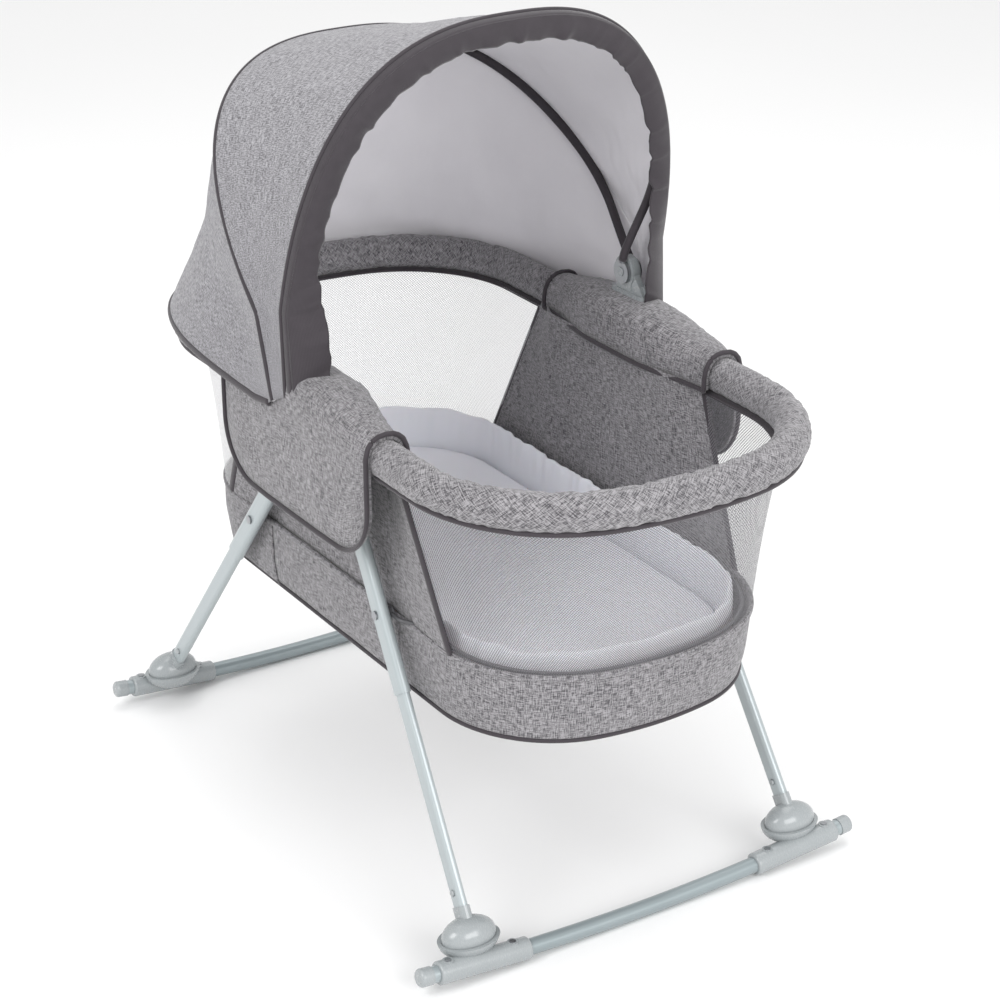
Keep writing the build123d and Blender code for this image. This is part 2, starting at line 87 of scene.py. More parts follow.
world = bpy.data.worlds.new("white_cove")
scene.world = world
world.use_nodes = True
sky = world.node_tree.nodes["Background"]
sky.inputs["Color"].default_value = (1.0, 1.0, 1.0, 1.0)
sky.inputs["Strength"].default_value = 0.92
scene.view_settings.view_transform = "Standard"


# ---- frame tubes ----------------------------------------------------------------
# Legs, rail and rockers are thin steel tube, powder coated in a pale blue grey satin.
# The coat has a faint orange peel and wears a little brighter along worn edges.
class Wire:
    """One output in a material; arithmetic on it adds Math nodes."""

    def __init__(self, tree, socket):
        self.tree, self.socket = tree, socket

    def sum_of(self, operation, *values):
        return node(self.tree, "ShaderNodeMath", {"operation": operation},
                    dict(enumerate(values)))

    def __add__(self, other):
        return self.sum_of("ADD", self, other)

    def __sub__(self, other):
        return self.sum_of("SUBTRACT", self, other)

    def __rsub__(self, other):
        return self.sum_of("SUBTRACT", other, self)

    def __mul__(self, other):
        return self.sum_of("MULTIPLY", self, other)

    __radd__, __rmul__ = __add__, __mul__


def node(tree, kind, settings, inputs, output=0):
    """Adds one node: its settings first, then the values or links of its sockets."""
    made = tree.nodes.new(kind)
    for key, value in settings.items():
        setattr(made, key, value)
    for key, value in inputs.items():
        if isinstance(value, Wire):
            tree.links.new(value.socket, made.inputs[key])
        else:
            made.inputs[key].default_value = value
    return Wire(tree, made.outputs[output])


def finish_named(name, build, **constants):
    """New material: build(tree) gives the varying sockets, constants are set directly."""
    material = bpy.data.materials.new(name)
    material.use_nodes = True
    tree = material.node_tree
    shader = tree.nodes["Principled BSDF"]
    for key, value in constants.items():
        shader.inputs[key.replace("_", " ")].default_value = value
    for key, value in build(tree).items():
        tree.links.new(value.socket, shader.inputs[key])
    return material


def grains(tree, where, scale, detail=2.0, rough=0.5):
    return node(tree, "ShaderNodeTexNoise", {}, {"Vector": where, "Scale": scale,
                "Detail": detail, "Roughness": rough})


def blended(tree, share, low, high):
    """Colour mixed from low to high; each is a plain colour or a Wire."""
    low, high = (end if isinstance(end, Wire) else (*end, 1.0) for end in (low, high))
    factor, colour_a, colour_b, colour_result = 0, 6, 7, 2
    return node(tree, "ShaderNodeMix", {"data_type": "RGBA"},
                {factor: share, colour_a: low, colour_b: high}, colour_result)


def ramp(tree, value, low, high):
    """0 below low, 1 above high and straight in between."""
    return node(tree, "ShaderNodeMapRange", {},
                {"Value": value, "From Min": low, "From Max": high})


def raised(tree, height, strength, distance):
    return node(tree, "ShaderNodeBump", {}, {"Height": height, "Strength": strength,
                "Distance": distance})


def object_place(tree):
    return node(tree, "ShaderNodeTexCoord", {}, {}, "Object")


def stretch(tree, where, scale):
    return node(tree, "ShaderNodeMapping", {}, {"Vector": where, "Scale": scale})


def satin_paint(tree):
    where = object_place(tree)
    peel = grains(tree, where, 900.0, 1.0)
    cloud = grains(tree, where, 9.0, 3.0)
    edge = node(tree, "ShaderNodeNewGeometry", {}, {}, "Pointiness")
    worn = ramp(tree, edge, 0.53, 0.62)
    coat = blended(tree, cloud, (0.235, 0.277, 0.290), (0.272, 0.314, 0.327))
    colour = blended(tree, worn * 0.35, coat, (0.62, 0.66, 0.67))
    return {"Base Color": colour, "Roughness": 0.27 + cloud * 0.12,
            "Normal": raised(tree, peel, 0.05, 0.0002)}


tube_paint = finish_named("pale_satin_paint", satin_paint, Metallic=0.25, Coat_Weight=0.35,
                          Coat_Roughness=0.18, IOR=1.5)


def dress(material, *names):
    """Gives CAD nodes their real finish."""
    for name in names:
        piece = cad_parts[name]
        piece.data.materials.clear()
        piece.data.materials.append(material)


ENDS = {"foot": 1, "head": -1}
for end in ENDS:
    dress(tube_paint, f"{end}_rail_tube", f"{end}_rocker_tube",
          *(f"{end}_leg_{part}_{where}" for part in ("upper", "lower")
            for where in ("far", "near")))


# ---- moulded plastic --------------------------------------------------------------
# Ball feet, saddles, end caps, knuckles and canopy mounts are gloss light grey plastic.
# Mould polish leaves a faint cloudiness and fine scuffs that only show in reflections.
def gloss_plastic(tree):
    where = object_place(tree)
    cloud = grains(tree, where, 24.0, 4.0)
    scuff = grains(tree, stretch(tree, where, (40.0, 400.0, 60.0)), 6.0, 3.0)
    colour = blended(tree, cloud, (0.275, 0.298, 0.306), (0.320, 0.340, 0.348))
    return {"Base Color": colour, "Roughness": 0.16 + scuff * 0.2,
            "Normal": raised(tree, scuff, 0.03, 0.0002)}


grey_plastic = finish_named("gloss_grey_plastic", gloss_plastic, Coat_Weight=0.4,
                            Coat_Roughness=0.08)
for end in ENDS:
    dress(grey_plastic, f"{end}_ball_far", f"{end}_ball_near", f"{end}_leg_knuckles",
          f"{end}_rail_knuckles", f"{end}_rocker_saddles", f"{end}_rocker_caps",
          f"{end}_snap_button_far", f"{end}_snap_button_near")
dress(grey_plastic, "hub_far", "hub_near", "canopy_mounts")


def matt_plastic(tree):
    grain = grains(tree, object_place(tree), 700.0, 2.0)
    colour = blended(tree, grain, (0.028, 0.028, 0.03), (0.045, 0.045, 0.048))
    return {"Base Color": colour, "Normal": raised(tree, grain, 0.15, 0.0003)}


dress(finish_named("matt_button_plastic", matt_plastic, Roughness=0.5),
      "fold_button_far", "fold_button_near")


# ---- screws, pins and wire hoops -----------------------------------------------------
# Zinc plated steel: saddle screws, leg rivets, hub pins, floor hoops and canopy bows.
# The plating is brushed along the wire and slightly mottled.
def plated_steel(tree):
    where = object_place(tree)
    brush = grains(tree, stretch(tree, where, (300.0, 40.0, 300.0)), 5.0, 2.0)
    mottle = grains(tree, where, 60.0, 3.0)
    colour = blended(tree, mottle, (0.30, 0.31, 0.33), (0.42, 0.43, 0.44))
    return {"Base Color": colour, "Roughness": 0.22 + mottle * 0.2,
            "Normal": raised(tree, brush, 0.08, 0.0002)}


steel = finish_named("zinc_plated_steel", plated_steel, Metallic=1.0)
for end in ENDS:
    dress(steel, f"{end}_leg_rivets", f"{end}_saddle_screws")
dress(steel, "hub_pins")


def dark_lacquer(tree):
    where = object_place(tree)
    cloud = grains(tree, where, 30.0, 3.0)
    rub = grains(tree, stretch(tree, where, (60.0, 60.0, 400.0)), 4.0, 2.0)
    return {"Base Color": blended(tree, cloud, (0.05, 0.05, 0.055), (0.09, 0.09, 0.095)),
            "Roughness": 0.3 + rub * 0.2, "Normal": raised(tree, rub, 0.05, 0.0002)}


lacquer = finish_named("dark_wire_lacquer", dark_lacquer, Coat_Weight=0.2)
dress(lacquer, "foot_floor_hoop", "head_floor_hoop")


# ---- padded rail covers ---------------------------------------------------------------
# A foam sleeve in grey melange, cut on the bias, is pulled over each half of the rail.
# It is closed underneath, where a charcoal tape also takes the top of the mesh.
YARN_LONG, YARN_THIN = 105.0, 860.0    # slubs a metre, along a yarn and across it


def cloth_place(tree, turn=0.0):
    """Metres along and across the cloth, turned for cloth cut on the bias."""
    cloth = node(tree, "ShaderNodeUVMap", {"uv_map": "cloth"}, {})
    return node(tree, "ShaderNodeMapping", {}, {"Vector": cloth, "Rotation": (0, 0, turn)})


def slubs(tree, where, along, across):
    """Thick and thin yarns of one direction: 0 dark, 1 light."""
    return grains(tree, stretch(tree, where, (along, across, 1.0)), 1.0, 1.0, 0.5)


def threads(tree, where, direction, scale, slack, detail=2.0):
    """Parallel yarns, a third of a metre apart divided by the scale."""
    return node(tree, "ShaderNodeTexWave", {"bands_direction": direction},
                {"Vector": where, "Scale": scale, "Distortion": slack, "Detail": detail})


def melange(light, dark, turn=0.0):
    """Two-tone plain weave: slubbed yarns both ways, dark flecks where thick yarns lie."""
    def build(tree):
        cloth = cloth_place(tree, turn)
        weft = slubs(tree, cloth, YARN_LONG, YARN_THIN)
        warp = slubs(tree, cloth, YARN_THIN, YARN_LONG)
        fleck = grains(tree, cloth, 640.0, 2.0)
        cloud = grains(tree, cloth, 26.0, 2.0)
        tone = ramp(tree, weft * 0.4 + warp * 0.4 + fleck * 0.2, 0.415, 0.575)
        tone = node(tree, "ShaderNodeMath", {"operation": "ADD", "use_clamp": True},
                    {0: tone * 0.92, 1: (cloud - 0.5) * 0.3 + 0.04})
        height = tone * 0.6
        for direction in ("X", "Y"):
            height += threads(tree, cloth, direction, 260.0, 0.6) * 0.2
        return {"Base Color": blended(tree, tone, dark, light),
                "Normal": raised(tree, height, 0.45, 0.0009)}
    return build


LIGHT_YARN, DARK_YARN = (0.315, 0.306, 0.318), (0.052, 0.049, 0.055)
WOVEN = dict(Roughness=0.92, Sheen_Weight=0.25, Sheen_Roughness=0.5, Specular_IOR_Level=0.25)
grey_cloth = finish_named("grey_melange", melange(LIGHT_YARN, DARK_YARN), **WOVEN)
bias_cloth = finish_named("grey_melange_on_the_bias",
                          melange(LIGHT_YARN, DARK_YARN, math.radians(45)), **WOVEN)


def ribbed_tape(tree):
    cloth = cloth_place(tree)
    rib = threads(tree, cloth, "X", 330.0, 0.3)
    wear = grains(tree, cloth, 70.0, 3.0)
    colour = blended(tree, rib * 0.5 + wear * 0.5, (0.019, 0.015, 0.019), (0.047, 0.039, 0.047))
    return {"Base Color": colour, "Normal": raised(tree, rib, 0.3, 0.0004)}


charcoal = finish_named("charcoal_tape", ribbed_tape, Roughness=0.75, Sheen_Weight=0.3,
                        Sheen_Roughness=0.4)

# Radii of the oval as shares of its half width: the four corners and the two ends.
CORNER_RATIO, END_RATIO = 0.765, 2.03


def half_oval(half, reach, start, side, count):
    """Evenly spaced points of a half oval, from the near side round to the far side."""
    corner, wide = CORNER_RATIO * half, END_RATIO * half
    rise = half - corner
    centre = reach - wide + math.sqrt((wide - corner) ** 2 - rise ** 2)
    last = math.atan2(rise, centre - reach + wide)
    runs = (centre - start, corner * (math.pi / 2 - last), wide * last)
    quarter = sum(runs)
    points = []
    for i in range(count):
        s = 2 * quarter * i / (count - 1)
        across = 1 if s > quarter else -1
        s = min(s, 2 * quarter - s)
        if s < runs[0]:
            x, y = start + s, half
        elif s < runs[0] + runs[1]:
            a = math.pi / 2 - (s - runs[0]) / corner
            x, y = centre + corner * math.cos(a), rise + corner * math.sin(a)
        else:
            a = last - (s - runs[0] - runs[1]) / wide
            x, y = reach - wide + wide * math.cos(a), wide * math.sin(a)
        points.append((side * x, across * y))
    return points


def cloth_piece(name, rows, material, wrap=False, lids=False):
    """Mesh through a grid of points, with UVs in metres along and across the cloth."""
    count = len(rows[0])
    verts = [p for row in rows for p in row]
    faces, spans = [], count if wrap else count - 1
    for i in range(len(rows) - 1):
        for j in range(spans):
            k = (j + 1) % count
            faces.append((i * count + j, i * count + k, (i + 1) * count + k, (i + 1) * count + j))
    grid = len(faces)
    if lids:
        faces.append(tuple(range(count))[::-1])
        faces.append(tuple((len(rows) - 1) * count + j for j in range(count)))
    mesh = bpy.data.meshes.new(name)
    mesh.from_pydata([tuple(v) for v in verts], [], faces)
    along = [0.0]
    middle = count // 2
    for a, b in zip(rows, rows[1:]):
        along.append(along[-1] + (Vector(b[middle]) - Vector(a[middle])).length)
    centre_row = rows[len(rows) // 2]
    ring = list(centre_row) + ([centre_row[0]] if wrap else [])
    across = [0.0]
    for a, b in zip(ring, ring[1:]):
        across.append(across[-1] + (Vector(b) - Vector(a)).length)
    layer = mesh.uv_layers.new(name="cloth")
    loop = 0
    for f in range(grid):
        i, j = divmod(f, spans)
        for di, dj in ((0, 0), (0, 1), (1, 1), (1, 0)):
            layer.data[loop].uv = (along[i + di], across[j + dj])
            loop += 1
    mesh.validate()
    mesh.polygons.foreach_set("use_smooth", [True] * len(mesh.polygons))
    piece = bpy.data.objects.new(name, mesh)
    scene.collection.objects.link(piece)
    mesh.materials.append(material)
    return piece


def swept_rows(points, section, up=Vector((0, 0, 1)), turn=None):
    """Rings of section (side, up) points carried along a line of points."""
    points = [Vector(p) for p in points]
    rows = []
    for i, p in enumerate(points):
        ahead = points[min(i + 1, len(points) - 1)] - points[max(i - 1, 0)]
        ahead.normalize()
        guide = up(p) if callable(up) else up
        side = ahead.cross(guide).normalized()
        rise = side.cross(ahead)
        shape = section(i) if callable(section) else section
        rows.append([p + side * a + rise * b for a, b in shape])
    return rows


def ring_section(radius_a, radius_b, count=12):
    turns = [2 * math.pi * k / count for k in range(count)]
    return [(radius_a * math.cos(a), radius_b * math.sin(a)) for a in turns]


def piping(name, points, material, width, height, up=Vector((0, 0, 1))):
    """Round or flat tape along a line, closed at its ends."""
    rows = swept_rows(points, ring_section(width / 2, height / 2), up)
    return cloth_piece(name, rows, material, wrap=True, lids=True)


RAIL_Z, RAIL_HALF, RAIL_REACH = 0.556, 0.2245, 0.428
PAD_SIDE, PAD_UP = 0.0203, 0.0222
FLAP_X = {"foot": 0.182, "head": 0.150}
UNDER_FLAP = 0.020
TAPE_Z, CORD_Z = 0.5352, 0.5362
TAPE_IN, CORD_OUT = 0.008, 0.0105
AROUND = 44


def soften(point, size, seed):
    return noise.noise(Vector(point) / size + Vector((seed, seed * 2.0, -seed)))


for end, side in ENDS.items():
    line = half_oval(RAIL_HALF, RAIL_REACH, FLAP_X[end] - UNDER_FLAP, side, 340)

    def sleeve(i, line=line):
        """Foam section with shallow creases that gather on the inside of each bend."""
        x, y = line[i]
        shape = []
        bend = abs(y) < RAIL_HALF - 0.006
        depth = 0.0020 if bend else 0.0013
        for k in range(AROUND):
            a = 2 * math.pi * k / AROUND
            around = (x + 0.03 * math.cos(a), y, 0.05 * a)
            crease = soften((x, y, 0.02 * math.sin(a)), 0.016, 3.1)
            puff = 1.0 + 0.03 * soften(around, 0.07, 9.0) - depth / PAD_UP * abs(crease) * 2
            shape.append((PAD_SIDE * puff * math.cos(a), PAD_UP * puff * math.sin(a)))
        return shape

    path = [(x, y, RAIL_Z) for x, y in line]
    pad = cloth_piece(f"{end}_rail_cover", swept_rows(path, sleeve), bias_cloth,
                      wrap=True, lids=True)
    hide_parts(f"{end}_rail_pad")
    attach(pad, f"{end}_rail")
    tape = [(x, y, TAPE_Z) for x, y in half_oval(RAIL_HALF - TAPE_IN, 0.4205,
                                                 FLAP_X[end] - UNDER_FLAP, side, 220)]
    cord = [(x, y, CORD_Z) for x, y in half_oval(RAIL_HALF + CORD_OUT, RAIL_REACH + CORD_OUT,
                                                 FLAP_X[end] - 0.004, side, 260)]
    for part, line, wide, high in (("tape", tape, 0.0245, 0.0062),
                                   ("piping", cord, 0.006, 0.006)):
        edge = piping(f"{end}_rail_cover_{part}", line, charcoal, wide, high)
        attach(edge, f"{end}_rail")


# ---- lower band and floor ------------------------------------------------------------
# Below the windows a melange band runs right round the basket, sewn to a flat floor.
# The wire floor hoops stretch its top hem; black piping closes its bottom edge.
FLOOR_Z, BAND_TOP, MESH_TOP = 0.258, 0.345, 0.5335
MIDDLE, BAND_SEAM = 0.150, 0.331
ACROSS_COUNT = 150


def basket(z):
    """Half width and half length of the tapering basket at a height."""
    t = (z - FLOOR_Z) / (MESH_TOP - FLOOR_Z)
    return 0.187 + 0.018 * t, 0.378 + 0.044 * t


def as_sheet(piece, thick=0.0022, offset=-1.0):
    if thick:
        shell = piece.modifiers.new("cloth", "SOLIDIFY")
        shell.thickness = thick
        shell.offset = offset


def wave(point, size, seed, height):
    return height * soften(point, size, seed)


def wall_profile(steps):
    """(z, inset) up the band: rounded bottom edge, soft belly, firm hem at the top."""
    profile = []
    for i in range(steps + 1):
        s = i / steps
        z = FLOOR_Z + 0.001 + (BAND_TOP + 0.001 - FLOOR_Z) * s
        round_in = 0.004 * max(0.0, 1 - s / 0.08) ** 2
        belly = 0.0022 * math.sin(math.pi * min(1.0, s * 1.1))
        profile.append((z, round_in - belly))
    return profile


def band_sag(x, y, z):
    """Slack of the band: none at the floor seam, full a little above it."""
    return wave((x, y, z * 1.6), 0.045, 4.0, 0.0016) * min(1.0, (z - FLOOR_Z) / 0.02)


for end, side in ENDS.items():
    rows = []
    half, reach = basket(FLOOR_Z)
    rim = half_oval(half - 0.004, reach - 0.004, MIDDLE, side, ACROSS_COUNT)
    for share in (0.0, 0.35, 0.7, 0.93):
        rows.append([Vector((x, y * share, FLOOR_Z + 0.0006)) for x, y in rim])
    for z, inset in wall_profile(26):
        half, reach = basket(z)
        grip = 0.0010 * math.exp(-((z - BAND_SEAM) / 0.0022) ** 2)
        row = []
        for x, y in half_oval(half - inset, reach - inset, MIDDLE, side, ACROSS_COUNT):
            out = Vector((x, y, 0)).normalized() * (band_sag(x, y, z) - grip)
            row.append(Vector((x, y, z)) + out)
        rows.append(row)
    band = cloth_piece(f"{end}_band", rows, grey_cloth)
    as_sheet(band)
    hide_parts(f"{end}_tub")
    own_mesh(band)
    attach(band, f"{end}_rail")

rows = []
for i in range(41):
    x = -MIDDLE + 2 * MIDDLE * i / 40
    section = []
    for z, inset in wall_profile(22)[::-1]:
        half = basket(z)[0] - inset
        section.append(Vector((x, -half - band_sag(x, -half, z), z)))
    section += [Vector((x, y, FLOOR_Z + 0.0006)) for y in (-0.17, -0.12, -0.06, 0.0)]
    section += [Vector((p.x, -p.y, p.z)) for p in section[-2::-1]]
    rows.append(section)
middle = cloth_piece("middle_band", rows, grey_cloth)
as_sheet(middle)
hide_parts("tub_middle")
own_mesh(middle)
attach(middle, "hubs")


def straight(start, stop, count):
    a, b = Vector(start), Vector(stop)
    return [a.lerp(b, i / (count - 1)) for i in range(count)]


def trim(name, points, body, width, height, joint=None, material=charcoal,
         up=Vector((0, 0, 1))):
    """Piping or tape along a line; it gets a mesh of its own when a joint is named and is
    attached to the body when one is given.
    """
    piece = piping(name, points, material, width, height, up)
    if joint:
        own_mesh(piece)
    if body:
        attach(piece, body)
    return piece


PIPING, PROUD = 0.0052, 0.0004
# Name, height, height at which the basket is measured, width, thickness, cloth and slot.
BAND_EDGES = (
    ("bottom_piping", FLOOR_Z + 0.0035, FLOOR_Z, PIPING, PIPING, charcoal, "charcoal_fabric"),
    ("band_hem", BAND_TOP - 0.001, BAND_TOP, 0.0048, 0.0075, grey_cloth, "melange_fabric"))
for end, side in ENDS.items():
    for part, z, level, wide, high, cloth, slot in BAND_EDGES:
        half, reach = basket(level)
        line = half_oval(half + PROUD, reach + PROUD, MIDDLE, side, 160)
        edge = trim(f"{end}_{part}", [(x, y, z) for x, y in line], f"{end}_rail", wide, high,
                    f"{end}_rail_fold", material=cloth)
for name, across in (("near", -1), ("far", 1)):
    for part, z, level, wide, high, cloth, slot in BAND_EDGES:
        y = across * (basket(level)[0] + PROUD)
        edge = trim(f"middle_{part}_{name}", straight((-MIDDLE, y, z), (MIDDLE, y, z), 40),
                    "hubs", wide, high, "head_rail_fold", cloth)


# ---- side panels ---------------------------------------------------------------------
# A melange trapezoid hangs on each side between the rail and the band, behind the legs.
# A charcoal strip runs down its two slanted edges where it meets the mesh; the cloth is a little
# slack.
PANEL_TOP, PANEL_LOW, PANEL_Z = 0.168, 0.258, 0.540
SET_BACK, SET_BACK_X = 0.1875, 0.115


def eased(share):
    """Share held between 0 and 1, with a soft start and stop."""
    share = min(1.0, max(0.0, share))
    return share * share * (3 - 2 * share)


def panel_edge(z):
    return PANEL_LOW + (PANEL_TOP - PANEL_LOW) * (z - BAND_TOP) / (PANEL_Z - BAND_TOP)


def panel_y(x, z):
    """The panel stands back behind the legs and meets the mesh at its slanted edges."""
    share = eased((abs(x) - SET_BACK_X) / (panel_edge(z) - SET_BACK_X))
    return SET_BACK + (basket(z)[0] - SET_BACK) * share


for name, across in (("near", -1), ("far", 1)):
    rows = []
    for i in range(51):
        z = BAND_TOP + (PANEL_Z + 0.006 - BAND_TOP) * i / 50
        row = []
        for j in range(121):
            share = 2 * j / 120 - 1
            x = panel_edge(z) * share
            slack = math.sin(math.pi * i / 50) * (1 - share ** 4)
            fold = wave((x, across, z * 0.6 + x * 0.5), 0.05, 6.0, 0.0032) * slack
            pull = 0.0014 * slack * math.sin(x * 160 + z * 95 + 3 * soften((x, 0, z), 0.1, 2.0))
            row.append(Vector((x, across * (panel_y(x, z) - abs(fold) + pull * 0.6), z)))
        rows.append(row if across < 0 else row[::-1])
    panel = cloth_piece(f"side_panel_cloth_{name}", rows, grey_cloth)
    as_sheet(panel,
             offset=0.0)
    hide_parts(f"side_panel_{name}")
    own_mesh(panel)
    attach(panel, "hubs")
    for end, side in ENDS.items():
        line = []
        for i in range(41):
            z = BAND_TOP + (PANEL_Z - 0.006 - BAND_TOP) * i / 40
            line.append((side * panel_edge(z), across * (basket(z)[0] + 0.0008), z))
        trim(f"{end}_slanted_tape_{name}", line, "hubs", 0.0110, 0.0042, "head_rail_fold",
             up=Vector((0, across, 0)))


# ---- mesh windows ---------------------------------------------------------------------
# Each end of the basket is one window of knitted net on the diagonal, in fine grey yarn.
# It is stretched between the cover's tape and the band's hem, so it stays almost flat.
def net(dark, light):
    def build(tree):
        tilted = cloth_place(tree, math.radians(45))
        strands = [ramp(tree, threads(tree, tilted, direction, 136.0, 0.25, 1.0), 0.78, 0.90)
                   for direction in ("X", "Y")]
        cover = node(tree, "ShaderNodeMath", {"operation": "MAXIMUM"}, dict(enumerate(strands)))
        tint = grains(tree, cloth_place(tree), 500.0)
        return {"Alpha": cover, "Base Color": blended(tree, tint, dark, light),
                "Normal": raised(tree, cover, 0.4, 0.0004)}
    return build


# The foot window has the yarn's own grey. The head window gets a pale copy of the same net:
# painted light for the brightness that washes over that end.
netting = {"foot": finish_named("grey_net", net((0.10, 0.095, 0.105), (0.2, 0.195, 0.21)),
                                Roughness=0.7, Sheen_Weight=0.2),
           "head": finish_named("grey_net_painted_light", net((0.62, 0.62, 0.63), (0.72, 0.72, 0.73)),
                                Roughness=0.7, Sheen_Weight=0.2)}
for end, side in ENDS.items():
    rows = []
    for i in range(31):
        z = BAND_TOP + (MESH_TOP + 0.003 - BAND_TOP) * i / 30
        half, reach = basket(z)
        slack = 0.0022 * math.sin(math.pi * i / 30)
        line = half_oval(half - slack, reach - slack, panel_edge(z), side, ACROSS_COUNT)
        rows.append([Vector((x, y, z)) for x, y in line])
    window = cloth_piece(f"{end}_window_net", rows, netting[end])
    as_sheet(window, thick=None)
    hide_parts(f"{end}_mesh")
    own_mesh(window)
    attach(window, f"{end}_rail")


# ---- hub flaps -------------------------------------------------------------------------
# A padded melange flap is folded over the rail at each hub and hides the fold joints.
# Its long outer leg has round lower corners; charcoal piping is sewn into its edge.
FLAP_LOW, FLAP_ROUND = 0.4335, 0.066
FLAP_FROM, FLAP_TO = -FLAP_X["head"], FLAP_X["foot"]
FLAP_INNER_Z, FLAP_LEG = 0.5425, 16


def flap_bottom(x):
    near_end = min(x - FLAP_FROM, FLAP_TO - x)
    d = FLAP_ROUND - max(0.0, min(FLAP_ROUND, near_end))
    return FLAP_LOW + FLAP_ROUND - math.sqrt(FLAP_ROUND ** 2 - d * d * 0.999)


def flap_path(x):
    """Section of the flap as (y, z), from its inner edge over the rail to its lower edge.

    It is wide over the hub and draws in to hug the rail cover at both ends."""
    hug = eased(1 - min(x - FLAP_FROM, FLAP_TO - x) / 0.128)
    wide = [(0.1828, FLAP_INNER_Z), (0.1822, 0.556), (0.1824, 0.572), (0.1838, 0.584),
            (0.1885, 0.5940), (0.198, 0.5990), (0.217, 0.6002), (0.235, 0.5990),
            (0.2445, 0.5942), (0.2495, 0.585), (0.2505, 0.573)]
    tight = [(0.1985, FLAP_INNER_Z), (0.1985, 0.556), (0.2000, 0.566), (0.2040, 0.574),
             (0.2100, 0.5795), (0.2165, 0.5825), (0.2245, 0.5835), (0.2325, 0.5822),
             (0.2395, 0.5785), (0.2450, 0.572), (0.2480, 0.562)]
    stand = [(a + (c - a) * hug, b + (d - b) * hug) for (a, b), (c, d) in zip(wide, tight)]
    (y, z), low = stand[-1], flap_bottom(x)
    return stand + [(y + 0.0002, z + (low - z) * i / FLAP_LEG) for i in range(1, FLAP_LEG + 1)]


def even(points, count):
    runs = [0.0]
    for a, b in zip(points, points[1:]):
        runs.append(runs[-1] + (b - a).length)
    line, k = [], 0
    for i in range(count):
        s = runs[-1] * i / (count - 1)
        while k < len(runs) - 2 and runs[k + 1] < s:
            k += 1
        share = (s - runs[k]) / max(1e-9, runs[k + 1] - runs[k])
        line.append(points[k].lerp(points[k + 1], share))
    return line


def flap_columns():
    """X values that gather towards the two ends, where the corners are round."""
    count = 72
    return [FLAP_FROM + (FLAP_TO - FLAP_FROM) * (0.5 - 0.5 * math.cos(math.pi * i / count))
            for i in range(count + 1)]


for name, across in (("near", -1), ("far", 1)):
    skin, rim = [], []
    for x in flap_columns():
        path = flap_path(x)
        share = (x - FLAP_FROM) / (FLAP_TO - FLAP_FROM)
        row = []
        for k, (y, z) in enumerate(path):
            inward = min(1.0, k / 4, (len(path) - 1 - k) / 4)
            crown = min(1.0, 12 * share, 12 * (1 - share)) * inward
            puff = 0.0026 * crown + wave((x, across * y, z), 0.05, 8.0, 0.0022) * crown
            crease = 0.0012 * crown * soften((x * 2.2, across, z), 0.02, 5.0)
            over = z > RAIL_Z and y > 0.2
            out = (y - 0.217, z - RAIL_Z if over else 0.0)
            size = math.hypot(*out) or 1.0
            grow = (puff + crease) / size
            row.append(Vector((x, across * (y + out[0] * grow), z + out[1] * grow)))
        skin.append(row if across < 0 else row[::-1])
    flap = cloth_piece(f"hub_flap_{name}", skin, grey_cloth)
    thick = flap.modifiers.new("padding", "SOLIDIFY")
    thick.thickness, thick.offset = 0.0055, -1.0
    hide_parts(f"flap_{name}")
    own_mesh(flap)
    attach(flap, "hubs")

    def end_line(x, across=across):
        """Round the padded edge, from the inner corner over the rail to the outer leg."""
        proud = 0.0012
        return [(x, across * (y + (proud if y > RAIL_HALF else -proud)),
                 z + (proud if z > 0.57 else 0)) for y, z in flap_path(x)[:-6]]

    line = end_line(FLAP_FROM)
    line += [(x, across * (flap_path(x)[-1][0] + 0.001), flap_bottom(x)) for x in flap_columns()]
    line += end_line(FLAP_TO)[::-1]
    line += [(x, across * (flap_path(x)[0][0] - 0.001), FLAP_INNER_Z)
             for x in flap_columns()[::-1]]
    line = even([Vector(p) for p in line], 520)
    trim(f"flap_piping_{name}", line, "hubs", PIPING, 0.0062, "head_rail_fold",
         up=Vector((0.02, 1, 0.9)))


# ---- mattress -----------------------------------------------------------------------------
# A thin foam pad in a white cotton cover lies on the floor, loose enough to lift out.
# Its cover has a padded edge that stands up round it and is gathered into soft puckers.
def cotton(light, dark):
    def build(tree):
        cloth = cloth_place(tree)
        cloud = grains(tree, cloth, 12.0, 3.0)
        height = grains(tree, stretch(tree, cloth, (30.0, 90.0, 1.0)), 1.0, 3.0) * 0.8
        for direction in ("X", "Y"):
            height += threads(tree, cloth, direction, 420.0, 0.4) * 0.1
        return {"Base Color": blended(tree, cloud, light, dark),
                "Normal": raised(tree, height, 0.18, 0.002)}
    return build


cotton_white = finish_named("white_cotton", cotton((0.86, 0.86, 0.90), (0.80, 0.80, 0.85)),
                            Roughness=0.85, Sheen_Weight=0.3, Subsurface_Weight=0.05)


def whole_oval(half, reach, count):
    """Closed oval, evenly spaced, starting at the middle of the near side."""
    right = half_oval(half, reach, 0.0, 1, count + 1)
    left = half_oval(half, reach, 0.0, -1, count + 1)[::-1]
    return right[:-1] + left[:-1]


